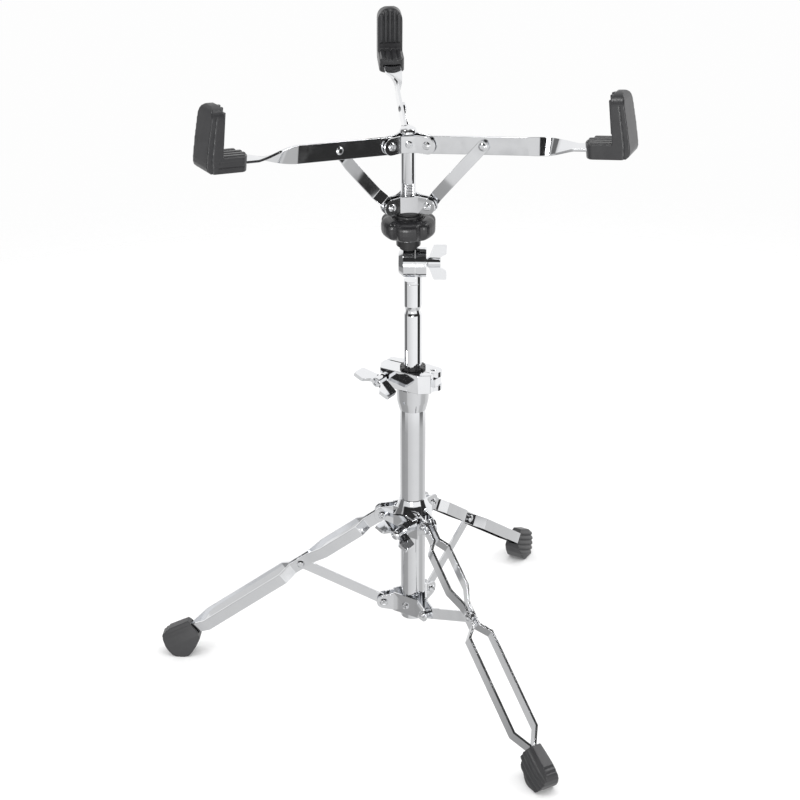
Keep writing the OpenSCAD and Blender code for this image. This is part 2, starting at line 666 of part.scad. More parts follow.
base_tube();
tube_ferrule();
clamp_body();
clamp_hinge_pin();
clamp_jaw();
clamp_bolt();
clamp_wing_nut();
height_bush();
lower_hub_plates();
lower_hub_rivets();
lower_hub_screw();
leg_hub_cap();
leg_hub_plates();
leg_hub_rivets();
leg_hub_nut();
leg_hub_wing_bolt();
left_leg_strip_a();
left_leg_strip_b();
left_leg_rivet();
left_leg_brace();
left_foot();
front_leg_strip_a();
front_leg_strip_b();
front_leg_rivet();
front_leg_brace();
front_foot();
back_leg_strip_a();
back_leg_strip_b();
back_leg_rivet();
back_leg_brace();
back_foot();
upper_tube();
tilter_lower();
tilter_upper();
tilter_bolt();
tilter_wing_nut();
stem_collar();
basket_shaft();
shaft_cap();
top_hub_plates();
top_hub_rivets();
top_hub_screw();
sliding_hub_plates();
sliding_hub_rivets();
sliding_hub_washer();
basket_knob();
left_arm();
left_arm_rivet();
left_arm_brace();
left_rest();
right_arm();
right_arm_rivet();
right_arm_brace();
right_rest();
back_arm();
back_arm_rivet();
back_arm_brace();
back_rest();
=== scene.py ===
"""A chromed snare drum stand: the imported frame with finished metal, rubber and plastic pieces around it."""

import json
import math

import bpy
from mathutils import Matrix, Vector


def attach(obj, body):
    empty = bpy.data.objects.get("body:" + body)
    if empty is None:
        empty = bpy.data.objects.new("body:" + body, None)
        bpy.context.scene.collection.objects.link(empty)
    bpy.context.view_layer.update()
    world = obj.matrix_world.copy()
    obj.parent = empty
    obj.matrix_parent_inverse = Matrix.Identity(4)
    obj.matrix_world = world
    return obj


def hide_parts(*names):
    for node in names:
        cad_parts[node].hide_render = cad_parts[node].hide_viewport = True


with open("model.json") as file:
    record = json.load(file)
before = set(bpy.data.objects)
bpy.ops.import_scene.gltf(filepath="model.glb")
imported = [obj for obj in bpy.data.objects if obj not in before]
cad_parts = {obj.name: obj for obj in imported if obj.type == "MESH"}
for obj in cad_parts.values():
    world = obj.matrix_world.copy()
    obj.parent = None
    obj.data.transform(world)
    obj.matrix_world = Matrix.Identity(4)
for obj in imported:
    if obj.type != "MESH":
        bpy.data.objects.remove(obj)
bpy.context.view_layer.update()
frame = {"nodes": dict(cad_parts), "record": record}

MM = 0.001
UP = Vector((0, 0, 1))
NODES = frame["nodes"]
JOINTS = {joint["name"]: joint for joint in frame["record"]["behaviour"]["joints"]}
MOUNTS = {mount["name"]: mount for mount in frame["record"]["mounts"]}
BODY_OF = {node: body for body, nodes in frame["record"]["behaviour"]["bodies"].items() for node in nodes}
LEGS = ("left", "front", "back")
ARMS = ("left", "right", "back")


# ---------- shader maths ----------

class Value:
    """A number that varies over a surface. Sums written on it become Math nodes."""

    def __init__(self, shader, socket):
        self.shader = shader
        self.socket = socket

    def maths(self, operation, *others):
        """This value with the others, in that order, through a Math node."""
        node = self.shader.node("ShaderNodeMath", {"operation": operation}, dict(enumerate((self, *others))))
        return Value(self.shader, node.outputs[0])

    def swapped(self, operation, first):
        """A Math node with another value before this one."""
        node = self.shader.node("ShaderNodeMath", {"operation": operation}, {0: first, 1: self})
        return Value(self.shader, node.outputs[0])

    def __add__(self, other):
        return self.maths("ADD", other)

    def __radd__(self, other):
        return self.swapped("ADD", other)

    def __sub__(self, other):
        return self.maths("SUBTRACT", other)

    def __rsub__(self, other):
        return self.swapped("SUBTRACT", other)

    def __mul__(self, other):
        return self.maths("MULTIPLY", other)

    def __rmul__(self, other):
        return self.swapped("MULTIPLY", other)

    def __abs__(self):
        return self.maths("ABSOLUTE")

    def kept(self, low, high):
        """This value, kept between low and high."""
        return self.maths("MAXIMUM", low).maths("MINIMUM", high)

    def eased(self, start, end):
        """0 before start, 1 after end, with a smooth step between. The two may come in either order."""
        low, high = min(start, end), max(start, end)
        node = self.shader.node(
            "ShaderNodeMapRange", {"interpolation_type": "SMOOTHSTEP"},
            {"Value": self, "From Min": low, "From Max": high, "To Min": 0.0 if start < end else 1.0,
             "To Max": 1.0 if start < end else 0.0})
        return Value(self.shader, node.outputs["Result"])


class Shader:
    """The nodes of one material or of the studio's surroundings."""

    def __init__(self, tree):
        self.tree = tree
        tree.nodes.clear()

    def put(self, value, socket):
        """Sets a socket's value, or links it."""
        value = getattr(value, "socket", value)
        if isinstance(value, bpy.types.NodeSocket):
            self.tree.links.new(value, socket)
        else:
            socket.default_value = value

    def node(self, kind, settings=None, sockets=None):
        """A node of this type, with its settings and then its sockets' values or links."""
        made = self.tree.nodes.new(kind)
        for name, value in (settings or {}).items():
            setattr(made, name, value)
        for name, value in (sockets or {}).items():
            self.put(value, made.inputs[name])
        return made

    def place(self):
        """The piece's own coordinates, in metres."""
        return self.node("ShaderNodeTexCoord").outputs["Object"]

    def noise(self, vector, size, detail=2.0):
        """Soft noise from 0 to 1, whose patches are about size metres across."""
        node = self.node("ShaderNodeTexNoise", None, {"Vector": vector, "Scale": 1 / size, "Detail": detail})
        return Value(self, node.outputs[0])

    def axis(self, vector, letter):
        """One part of a vector."""
        return Value(self, self.node("ShaderNodeSeparateXYZ", None, {0: vector}).outputs[letter])

    def mixed(self, amount, first, second):
        """A colour between first and second."""
        node = self.node("ShaderNodeMix", {"data_type": "RGBA"}, {0: amount, 6: first, 7: second})
        return node.outputs[2]

    def bumped(self, height, depth):
        """A normal from a height that runs from 0 to 1 over depth metres."""
        return self.node("ShaderNodeBump", None, {"Height": height, "Distance": depth}).outputs[0]

    def surface(self, varying, steady):
        """The surface: what varies over it, and what is the same all over."""
        return self.node("ShaderNodeBsdfPrincipled", None, {**varying, **steady})


def new_shader(name):
    """An empty material and the shader that fills it."""
    material = bpy.data.materials.new(name)
    material.use_nodes = True
    return material, Shader(material.node_tree)


def finish_material(shader, surface):
    """Makes a surface the material's own."""
    shader.node("ShaderNodeOutputMaterial", None, {"Surface": surface.outputs[0]})


def chrome(name, tone, roughness, ripple, ripple_size, dullness):
    """Bright chrome plate: tone is its grey, ripple the depth of the steel's waviness under the plate."""
    material, shader = new_shader(name)
    place = shader.place()
    clouds = shader.noise(place, 14 * MM)
    polish = shader.noise(place, 0.7 * MM, 3.0)
    waves = shader.noise(place, ripple_size, 1.0)
    smears = (clouds - 0.45).kept(0, 0.3) * dullness
    light = (*(tone * part for part in (0.985, 0.995, 1.01)), 1)
    dark = (*(0.88 * tone * part for part in (0.98, 0.99, 1.02)), 1)
    finish_material(shader, shader.surface(
        {"Base Color": shader.mixed(clouds * 0.55 + polish * 0.15, light, dark),
         "Roughness": roughness + smears + polish * 0.02,
         "Normal": shader.bumped(waves, ripple)},
        {"Metallic": 1.0}))
    return material


def moulded(name, colour, worn, roughness, grain_size, grain_depth, sheen):
    """Moulded rubber or plastic, a little paler where it has been handled."""
    material, shader = new_shader(name)
    place = shader.place()
    handled = shader.noise(place, 11 * MM, 3.0)
    grain = shader.noise(place, grain_size, 3.0)
    specks = shader.noise(place, 4 * grain_size, 2.0)
    finish_material(shader, shader.surface(
        {"Base Color": shader.mixed((handled * 1.6 - 0.4).kept(0, 1) * 0.7 + specks * 0.3, colour, worn),
         "Roughness": roughness - 0.1 + handled * 0.16 + grain * 0.06,
         "Normal": shader.bumped(grain * 0.7 + specks * 0.3, grain_depth)},
        {"Specular IOR Level": sheen, "Metallic": 0.0}))
    return material


FINISHES = {
    "tube_chrome": chrome("tube_chrome", 0.93, 0.035, 0.006 * MM, 26 * MM, 0.10),
    "cast_chrome": chrome("cast_chrome", 0.93, 0.045, 0.014 * MM, 9 * MM, 0.16),
    "strip_chrome": chrome("strip_chrome", 0.88, 0.06, 0.012 * MM, 12 * MM, 0.22),
    "fastener_chrome": chrome("fastener_chrome", 0.88, 0.07, 0.008 * MM, 3 * MM, 0.2),
    "foot_rubber": moulded("foot_rubber", (0.024, 0.024, 0.026, 1), (0.040, 0.040, 0.042, 1),
                           0.38, 0.35 * MM, 0.02 * MM, 0.75),
    "rest_rubber": moulded("rest_rubber", (0.020, 0.020, 0.022, 1), (0.034, 0.034, 0.036, 1),
                           0.30, 0.3 * MM, 0.012 * MM, 0.75),
    "knob_plastic": moulded("knob_plastic", (0.012, 0.012, 0.013, 1), (0.022, 0.022, 0.024, 1),
                            0.24, 0.4 * MM, 0.008 * MM, 0.8),
    "black_nylon": moulded("black_nylon", (0.010, 0.010, 0.011, 1), (0.020, 0.020, 0.021, 1),
                           0.3, 0.5 * MM, 0.01 * MM, 0.6),
}


# ---------- mesh work ----------

SHARP_ANGLE = 32


def deselect():
    """Object mode with nothing selected."""
    if bpy.context.object and bpy.context.object.mode != "OBJECT":
        bpy.ops.object.mode_set(mode="OBJECT")
    bpy.ops.object.select_all(action="DESELECT")


def take(piece):
    """Makes one piece the only selected and the active one."""
    deselect()
    bpy.context.view_layer.objects.active = piece
    piece.select_set(True)


def edit(piece, what="FACE"):
    """Edit mode with all of a piece selected, as faces, edges or corners."""
    take(piece)
    bpy.ops.object.mode_set(mode="EDIT")
    bpy.ops.mesh.select_mode(type=what)
    bpy.ops.mesh.select_all(action="SELECT")


def done():
    """Back to object mode."""
    bpy.ops.object.mode_set(mode="OBJECT")


def modify(piece, kind, **settings):
    """Adds a modifier and applies it."""
    take(piece)
    modifier = piece.modifiers.new(kind.lower(), kind)
    for name, value in settings.items():
        setattr(modifier, name, value)
    bpy.ops.object.modifier_apply(modifier=modifier.name)


def soften(piece, width):
    """Rounds the sharp edges and shades the faces so that flats stay flat."""
    take(piece)
    bpy.ops.object.shade_smooth_by_angle(angle=math.radians(SHARP_ANGLE))
    modify(piece, "BEVEL", width=width, segments=2, limit_method="ANGLE",
           angle_limit=math.radians(SHARP_ANGLE), use_clamp_overlap=True)
    take(piece)
    bpy.ops.object.shade_smooth_by_angle(angle=math.radians(SHARP_ANGLE + 8))
    modify(piece, "WEIGHTED_NORMAL", keep_sharp=True, weight=60)


def settle(piece, matrix):
    """Carries a piece from its own frame to its place, and leaves its object at the origin."""
    take(piece)
    piece.matrix_world = matrix @ piece.matrix_world
    bpy.ops.object.transform_apply(location=True, rotation=True, scale=True)


def fit_out(piece, finish, body, *nodes):
    """Gives a piece its finish and its body, and hides the nodes that it stands for."""
    piece.data.materials.clear()
    piece.data.materials.append(FINISHES[finish])
    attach(piece, body)
    if nodes:
        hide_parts(*nodes)


def finished_node(node, finish, edge):
    """The frame's own part with its edges rounded and its finish on."""
    piece = bpy.data.objects.new(node + "_finished", NODES[node].data.copy())
    bpy.context.scene.collection.objects.link(piece)
    edit(piece, "VERT")
    bpy.ops.mesh.remove_doubles(threshold=0.002 * MM)
    bpy.ops.mesh.dissolve_limited(angle_limit=math.radians(0.6))
    done()
    soften(piece, edge)
    fit_out(piece, finish, BODY_OF[node], node)


def trace(name, points, height=0.0):
    """A flat face drawn corner by corner, level at the given height."""
    deselect()
    bpy.ops.mesh.primitive_plane_add(size=MM, location=(0, 0, 0))
    piece = bpy.context.object
    piece.name = name
    bpy.ops.object.mode_set(mode="EDIT")
    bpy.ops.mesh.select_mode(type="VERT")
    bpy.ops.mesh.select_all(action="SELECT")
    bpy.ops.mesh.merge(type="CENTER")
    bpy.ops.transform.translate(value=(points[0][0], points[0][1], height))
    for (x, y), (next_x, next_y) in zip(points, points[1:]):
        bpy.ops.mesh.extrude_vertices_move(TRANSFORM_OT_translate={"value": (next_x - x, next_y - y, 0)})
    bpy.ops.mesh.select_all(action="SELECT")
    bpy.ops.mesh.edge_face_add()
    done()
    return piece


def prism(name, points, low, high):
    """A traced outline, raised from low to high."""
    piece = trace(name, points, low)
    edit(piece)
    bpy.ops.mesh.extrude_region_move(TRANSFORM_OT_translate={"value": (0, 0, high - low)})
    bpy.ops.mesh.select_all(action="SELECT")
    bpy.ops.mesh.normals_make_consistent(inside=False)
    done()
    return piece


def drawn_out(name, section, rows):
    """A section drawn out along Z. Each row gives a height, the widths' scale along X and Y, and a turn."""
    height, wide, deep, turn = rows[0]
    piece = trace(name, [(x * wide, y * deep) for x, y in section], height)
    edit(piece)
    for next_height, next_wide, next_deep, next_turn in rows[1:]:
        bpy.ops.mesh.extrude_region_move(TRANSFORM_OT_translate={"value": (0, 0, next_height - height)})
        if (next_wide, next_deep) != (wide, deep):
            bpy.ops.transform.resize(value=(next_wide / wide, next_deep / deep, 1), center_override=(0, 0, 0))
        if next_turn != turn:
            bpy.ops.transform.rotate(value=math.radians(next_turn - turn), orient_axis="Z",
                                     center_override=(0, 0, 0))
        height, wide, deep, turn = next_height, next_wide, next_deep, next_turn
    bpy.ops.mesh.select_all(action="SELECT")
    bpy.ops.mesh.normals_make_consistent(inside=False)
    done()
    return piece


def ring(radius, count=48):
    """The corners of a round section."""
    return [(radius * math.cos(math.tau * n / count), radius * math.sin(math.tau * n / count))
            for n in range(count)]


def turned(name, profile, count=48):
    """A piece turned on a lathe: the profile's (radius, height) points from the bottom up."""
    widest = max(radius for radius, _ in profile)
    rows = [(height, radius / widest, radius / widest, 0) for radius, height in profile]
    return drawn_out(name, ring(widest, count), rows)


def block(name, low, high):
    """A rectangular block between two corners."""
    deselect()
    middle = [(a + b) / 2 for a, b in zip(low, high)]
    bpy.ops.mesh.primitive_cube_add(size=1, location=middle, scale=[b - a for a, b in zip(low, high)])
    piece = bpy.context.object
    piece.name = name
    bpy.ops.object.transform_apply(location=True, rotation=True, scale=True)
    return piece


def carve(piece, tool, operation):
    """Cuts a piece with a tool, joins the tool to it or keeps what is common; the tool goes."""
    modify(piece, "BOOLEAN", object=tool, operation=operation, solver="EXACT")
    bpy.data.objects.remove(tool, do_unlink=True)


def moulded_whole(piece, grain, rounds):
    """Runs everything in a piece together as one skin of small faces, and softens its corners."""
    modify(piece, "REMESH", mode="VOXEL", voxel_size=grain, use_smooth_shade=True)
    modify(piece, "SMOOTH", factor=0.5, iterations=rounds)
    take(piece)
    bpy.ops.object.shade_smooth()


def copy_of(piece, name):
    """A copy with a mesh of its own."""
    copy = bpy.data.objects.new(name, piece.data.copy())
    bpy.context.scene.collection.objects.link(copy)
    return copy


def drop(piece):
    """Removes a pattern that has been copied."""
    bpy.data.objects.remove(piece, do_unlink=True)


# ---------- places of the moving parts ----------

def axes(origin, x, y, z):
    """The matrix of a frame with its origin and its three axes."""
    return Matrix.Translation(Vector(origin)) @ Matrix((x, y, z)).transposed().to_4x4()


def arm_place(arm):
    """x runs out along an arm from its pivot, z up from its centre line."""
    fold = JOINTS[f"{arm}_arm_fold"]
    y = -Vector(fold["axis"]).normalized()
    z = Vector(MOUNTS[f"{arm}_seat_face"]["axis"]).normalized()
    return axes(fold["pos_m"], y.cross(z), y, z)


def foot_place(leg):
    """x runs outwards from the stand's axis, z up from the floor."""
    origin = Vector(MOUNTS[f"{leg}_foot_face"]["pos_m"])
    x = Vector((origin.x, origin.y, 0)).normalized()
    return axes(origin, x, UP.cross(x), UP)


SEAT_AXIS = Vector(MOUNTS["drum_seat"]["axis"]).normalized()
TILTER = Vector((-4 * MM, 0, 439 * MM))
BASKET = axes(TILTER, Vector((1, 0, 0)), SEAT_AXIS.cross(Vector((1, 0, 0))), SEAT_AXIS) \
    @ Matrix.Translation((0, 0, -TILTER.z))
ON_ITS_SIDE = axes((0, 0, 0), Vector((1, 0, 0)), UP, Vector((0, -1, 0)))


# ---------- rubber rests ----------

REST_START = 149.4 * MM


def model_rest():
    """A rest along X: seat, finger, ribs on both, grooves along one side and the slot for its arm."""
    side = [(0, -6.8), (34, -6.8), (38, -6), (40.6, -4), (41.9, -1), (42, 3), (41, 20), (38.8, 44), (38, 46.6),
            (36.4, 49), (34, 50), (31, 50), (28.9, 48.9), (27.6, 46.6), (27.1, 43), (26.5, 6.2), (0, 6.2)]
    rest = prism("rest", [(x * MM, z * MM) for x, z in side], -12.5 * MM, 12.5 * MM)
    settle(rest, ON_ITS_SIDE)
    arch = [(-12.5, -8), (12.5, -8)] + [
        (12.5 * math.cos(math.pi * n / 24), 37.5 + 12.5 * math.sin(math.pi * n / 24)) for n in range(25)]
    mould = prism("arch", [(x * MM, z * MM) for x, z in arch], -1 * MM, 50 * MM)
    settle(mould, axes((0, 0, 0), Vector((0, 1, 0)), UP, Vector((1, 0, 0))))
    carve(rest, mould, "INTERSECT")
    plan = [(50, -13), (50, 13)] + [
        (9 - 9 * math.sin(math.pi * n / 24), 12.6 * math.cos(math.pi * n / 24)) for n in range(25)]
    mould = prism("plan", [(x * MM, y * MM) for x, y in plan], -9 * MM, 52 * MM)
    carve(rest, mould, "INTERSECT")
    ribs = []
    for y, start in ((-8.6, 5), (-2.9, 1.6), (2.9, 1.6), (8.6, 5)):
        ribs.append(block("seat_rib", (start * MM, (y - 1.75) * MM, 5 * MM), (27 * MM, (y + 1.75) * MM, 7.7 * MM)))
    for y in (-8.8, -4.4, 0, 4.4, 8.8):
        top = 37.2 + math.sqrt(11.2 ** 2 - y ** 2)
        ribs.append(block("finger_rib", (25.3 * MM, (y - 1.35) * MM, 15 * MM),
                          (28.4 * MM, (y + 1.35) * MM, top * MM)))
    for rib in ribs:
        carve(rest, rib, "UNION")
    for way in (1, -1):
        seam = prism("seam", [(x * MM, z * MM) for x, z in (
            (35.2, -8), (36.4, -8), (37.5, 6), (35.6, 38), (33.6, 47), (32.4, 47), (34.4, 38), (36.3, 6))],
            way * 11.9 * MM, way * 14 * MM)
        settle(seam, ON_ITS_SIDE)
        carve(rest, seam, "DIFFERENCE")
    for z in (2.7, -1.6):
        carve(rest, block("groove", (3 * MM, 11.7 * MM, (z - 0.55) * MM), (31 * MM, 14 * MM, (z + 0.55) * MM)),
              "DIFFERENCE")
    carve(rest, block("slot", (-1 * MM, -8.6 * MM, -1.7 * MM), (9 * MM, 8.6 * MM, 1.7 * MM)), "DIFFERENCE")
    moulded_whole(rest, 0.5 * MM, 4)
    return rest


def fit_rests():
    """One rest on each arm's outer end."""
    rest = model_rest()
    for arm in ARMS:
        piece = copy_of(rest, f"{arm}_rest_rubber")
        settle(piece, arm_place(arm) @ Matrix.Translation((REST_START, 0, 0)))
        fit_out(piece, "rest_rubber", BODY_OF[f"{arm}_rest"], f"{arm}_rest")
    drop(rest)


# ---------- rubber feet ----------

FOOT_SLOPE = math.atan2(13, 28)
LEG_SLOPE = math.radians(35)


def foot_section():
    """A section across a foot: narrow top, five ribs down one flared side, the other smooth below a band."""
    ribbed = [(-6.2, 32.4), (-6.6, 31)]
    for n in range(5):
        top = 29.6 - 5.7 * n
        wide = 6.8 + 6.2 * (n / 4.5) ** 0.75
        ribbed += [(-wide - 0.1, top), (-wide - 1.2, top - 1.3), (-wide - 1.4, top - 3.3), (-wide + 0.5, top - 4.6)]
    smooth = [(6.2, 32.4), (7.4, 29.8), (7.2, 29.2), (8.7, 26.6), (8.5, 26), (10, 23), (12.3, 14), (12.9, 6),
              (12.9, -6)]
    return ribbed + [(-12.9, -6)] + smooth[::-1]


def model_foot():
    """A foot in the frame of its resting point: ribs run down its length, a lip stands at its outer end."""
    section = [(x * MM, y * MM) for x, y in foot_section()]
    rows = [(-36, 0.67), (-31, 0.70), (-26, 0.75), (-20, 0.80), (-13, 0.84), (-5, 0.85), (3, 0.82), (8, 0.77),
            (12, 0.7)]
    foot = drawn_out("foot", section, [(length * MM, wide, 1, 0) for length, wide in rows])
    down = Vector((math.cos(FOOT_SLOPE), 0, -math.sin(FOOT_SLOPE)))
    raised = Vector((math.sin(FOOT_SLOPE), 0, math.cos(FOOT_SLOPE)))
    settle(foot, axes((0, 0, 0), raised.cross(down), raised, down))
    side = [(-24, 22), (-21, 29), (-12.4, 40), (-11, 40.6), (9.6, 31), (10.4, 29.2), (12.9, 28.1), (13.7, 26.2),
            (15.6, 25.2), (16.6, 23), (16, 18.6), (13.6, 12), (10.4, 6.6), (7, 2.8), (3, 0.3), (1, 0), (-7, 0),
            (-10.5, 1), (-14, 4), (-19.5, 12.6)]
    mould = prism("foot_side", [(x * MM, z * MM) for x, z in side], -16 * MM, 16 * MM)
    settle(mould, ON_ITS_SIDE)
    carve(foot, mould, "INTERSECT")
    return foot


def fit_feet():
    """One foot on each leg, hollowed where the leg's two strips go in."""
    foot = model_foot()
    for leg in LEGS:
        piece = copy_of(foot, f"{leg}_foot_rubber")
        settle(piece, foot_place(leg))
        fold = JOINTS[f"{leg}_leg_fold"]
        pivot = Vector(fold["pos_m"])
        radial = Vector((pivot.x, pivot.y, 0)).normalized()
        along = radial * math.cos(LEG_SLOPE) - UP * math.sin(LEG_SLOPE)
        across = Vector(fold["axis"]).normalized()
        pocket = block("pocket", (240 * MM, -4.6 * MM, -6.6 * MM), (257 * MM, 4.6 * MM, 6.6 * MM))
        settle(pocket, axes(pivot, along, across, along.cross(across)))
        carve(piece, pocket, "DIFFERENCE")
        moulded_whole(piece, 0.45 * MM, 3)
        fit_out(piece, "foot_rubber", BODY_OF[f"{leg}_foot"], f"{leg}_foot")
    drop(foot)


# ---------- basket shaft, knob and arms ----------

def fit_knob():
    """A six-lobed knob with shallow recesses between its lobes, curved in below."""
    section = []
    for lobe in range(6):
        for turn, radius in ((-30, 23.7), (-25, 24.0), (-21, 25.4), (-17, 26.0), (-9, 25.8), (0, 25.7), (9, 25.8),
                             (17, 26.0), (21, 25.4), (25, 24.0)):
            angle = math.radians(60 * lobe + 30 + turn)
            section.append((radius * MM * math.cos(angle), radius * MM * math.sin(angle)))
    rows = [(467, 0.72), (467.3, 0.8), (468.4, 0.88), (470, 0.945), (472.2, 0.985), (474.5, 1.0), (480, 1.0),
            (482.2, 0.98), (484, 0.93), (485.2, 0.86), (485.8, 0.78), (486, 0.68), (485.9, 0.62), (485, 0.58),
            (483.4, 0.55), (483.4, 0.4)]
    knob = drawn_out("basket_knob_grip", section, [(z * MM, wide, wide, 0) for z, wide in rows])
    collar = turned("collar", [(r * MM, z * MM) for r, z in ((14, 483), (14, 488.6), (13.4, 489.3))])
    carve(knob, collar, "UNION")
    moulded_whole(knob, 0.5 * MM, 4)
    settle(knob, BASKET)
    fit_out(knob, "knob_plastic", "basket_knob", "basket_knob")


def fit_shaft():
    """The basket's shaft: a neck, a threaded length and a plain length."""
    core, crest, pitch = 6.4 * MM, 6.9 * MM, 1.5 * MM
    shaft = turned("basket_shaft_rod", [(r * MM, z * MM) for r, z in (
        (4, 447), (4, 464), (6, 464), (6.4, 464.5), (6.4, 518.6), (6.9, 519.4), (6.9, 565.8), (6.5, 566.2))], 64)
    soften(shaft, 0.12 * MM)
    thread = trace("basket_shaft_thread", [(core - 0.1 * MM, 0), (crest - 0.06 * MM, 0.5 * MM), (crest, 0.62 * MM),
                                           (crest - 0.06 * MM, 0.74 * MM), (core - 0.1 * MM, 1.24 * MM)])
    settle(thread, Matrix.Translation((0, 0, 465 * MM)) @ ON_ITS_SIDE)
    modify(thread, "SCREW", axis="Z", angle=math.tau, screw_offset=pitch, iterations=36, steps=36, render_steps=36,
           use_smooth_shade=False)
    edit(thread, "EDGE")
    bpy.ops.mesh.remove_doubles(threshold=0.001 * MM)
    bpy.ops.mesh.select_all(action="SELECT")
    bpy.ops.mesh.fill_holes(sides=8)
    bpy.ops.mesh.select_all(action="SELECT")
    bpy.ops.mesh.normals_make_consistent(inside=False)
    done()
    take(thread)
    bpy.ops.object.shade_smooth_by_angle(angle=math.radians(40))
    for piece in (shaft, thread):
        settle(piece, BASKET)
    fit_out(shaft, "tube_chrome", "basket_frame", "basket_shaft")
    fit_out(thread, "fastener_chrome", "basket_frame")


def fit_arms():
    """A flat arm with a round inner end that twists smoothly to lie flat in its rest."""
    half_w, half_t, edge = 8.25 * MM, 1.25 * MM, 0.4 * MM
    section = []
    for corner in range(4):
        mid_x = (half_w - edge) * (1 if corner in (0, 3) else -1)
        mid_y = (half_t - edge) * (1 if corner in (0, 1) else -1)
        for n in range(4):
            angle = math.radians(90 * corner + 30 * n)
            section.append((mid_x + edge * math.cos(angle), mid_y + edge * math.sin(angle)))
    rows = [(-8.25 * math.cos(math.radians(a)), math.sin(math.radians(a)), 1, 0) for a in range(10, 91, 8)]
    twist_start, twist_length, steps, end = 96, 44, 44, 171
    rows.append((twist_start, 1, 1, 0))
    for n in range(1, steps + 1):
        part = n / steps
        rows.append((twist_start + twist_length * part, 1, 1,
                     90 * (0.7 * part + 0.3 * (0.5 - 0.5 * math.cos(math.pi * part)))))
    rows.append((end, 1, 1, 90))
    blank = drawn_out("arm_blank", section, [(s * MM, wide, deep, turn) for s, wide, deep, turn in rows])
    take(blank)
    bpy.ops.object.shade_smooth_by_angle(angle=math.radians(40))
    modify(blank, "WEIGHTED_NORMAL", keep_sharp=True, weight=60)
    lying = axes((0, 0, 0), Vector((0, 0, -1)), Vector((0, 1, 0)), Vector((1, 0, 0)))
    for arm in ARMS:
        piece = copy_of(blank, f"{arm}_arm_strip")
        settle(piece, arm_place(arm) @ lying)
        fit_out(piece, "strip_chrome", BODY_OF[f"{arm}_arm"], f"{arm}_arm")
    drop(blank)


# ---------- wing nuts and wing bolt ----------

def wing_head(name, boss_d, boss_l, size, domed):
    """A cast wing head along Z: a round boss and two rounded wings that lean outwards."""
    r = boss_d / 2
    dome = ((0.93 * r, boss_l + 0.6), (0.72 * r, boss_l + 1.5), (0.4 * r, boss_l + 2.0), (0.1 * r, boss_l + 2.1))
    rim = ((0.95 * r, boss_l), (0.86 * r, boss_l + 0.3), (0.62 * r, boss_l + 0.3), (0.55 * r, boss_l - 0.8))
    profile = [(0.9 * r, 0), (r, 0.7), (r, 3), (0.95 * r, boss_l - 0.8)] + list(dome if domed else rim)
    head = turned(name, [(radius * MM, height * MM) for radius, height in profile])
    half = [(1, 1), (6, 1.7), (16.2, 5.5), (17, 6.6), (17, 17.3), (16.4, 18), (9.2, 18), (7.8, 17), (5.2, 12),
            (4, 11), (1, 11)]
    for way in (1, -1):
        wing = prism("wing", [(way * x * size * MM, y * size * MM) for x, y in half],
                     -1.45 * size * MM, 1.45 * size * MM)
        settle(wing, ON_ITS_SIDE)
        carve(head, wing, "UNION")
    soften(head, 0.45 * MM)
    return head


def wing_place(joint, base, turn):
    """The frame of a wing head: along its bolt, base metres from the joint's point, wings turned."""
    axis = Vector(JOINTS[joint]["axis"]).normalized()
    side = UP.cross(axis).normalized()
    return axes(JOINTS[joint]["pos_m"], side, axis.cross(side), axis) @ Matrix.Translation((0, 0, base)) \
        @ Matrix.Rotation(math.radians(turn), 4, "Z")


def fit_wing_heads():
    """The clamp's wing nut, the hub's wing bolt and the tilter's wing nut."""
    for name, joint, sizes, base, turn, node in (
            ("clamp_wing", "clamp_nut_turn", (10, 12.5, 1.25, False), -2, -24, "clamp_wing_nut"),
            ("hub_wing", "leg_hub_wing_turn", (10, 13, 1.2, True), 0, -26, "leg_hub_wing_bolt"),
            ("tilter_wing", "tilter_nut_turn", (10.5, 12, 1, False), -6.1, 90, "tilter_wing_nut")):
        head = wing_head(name + "_head", *sizes)
        settle(head, wing_place(joint, base * MM, turn))
        fit_out(head, "cast_chrome", BODY_OF[node], node)


def reach(node, point, axis):
    """How far a node's metal reaches along an axis, measured near the axis's line."""
    best = 0.0
    for vertex in NODES[node].data.vertices:
        step = vertex.co - point
        along = step.dot(axis)
        if (step - along * axis).length < 5 * MM:
            best = max(best, along)
    return best


def fit_rivet_faces():
    """Domed, ringed faces on both heads of the hubs' rivets, flatter where the arm braces fold past."""
    face = turned("rivet_face", [(r * MM, h * MM) for r, h in (
        (3.2, -0.8), (3.3, 0), (3.0, 0.45), (2.5, 0.55), (2.15, 0.3), (1.8, 0.3), (1.55, 0.6), (1.0, 0.85),
        (0.6, 0.6), (0.2, 0.5))], 32)
    take(face)
    bpy.ops.object.shade_smooth_by_angle(angle=math.radians(50))
    for node, joints in (("leg_hub_rivets", [f"{leg}_leg_fold" for leg in LEGS]),
                         ("lower_hub_rivets", [f"{leg}_leg_brace_fold" for leg in LEGS]),
                         ("top_hub_rivets", [f"{arm}_arm_fold" for arm in ARMS]),
                         ("sliding_hub_rivets", [f"{arm}_arm_brace_fold" for arm in ARMS])):
        for joint in joints:
            point = Vector(JOINTS[joint]["pos_m"])
            for way in (1, -1):
                axis = Vector(JOINTS[joint]["axis"]).normalized() * way
                piece = copy_of(face, f"{joint}_face_{'a' if way > 0 else 'b'}")
                side = axis.orthogonal().normalized()
                place = axes(point + axis * reach(node, point, axis), side, axis.cross(side), axis)
                depth = 0.35 if node == "top_hub_rivets" else 1
                settle(piece, place @ Matrix.Scale(depth, 4, (0, 0, 1)))
                fit_out(piece, "fastener_chrome", BODY_OF[node])
    drop(face)


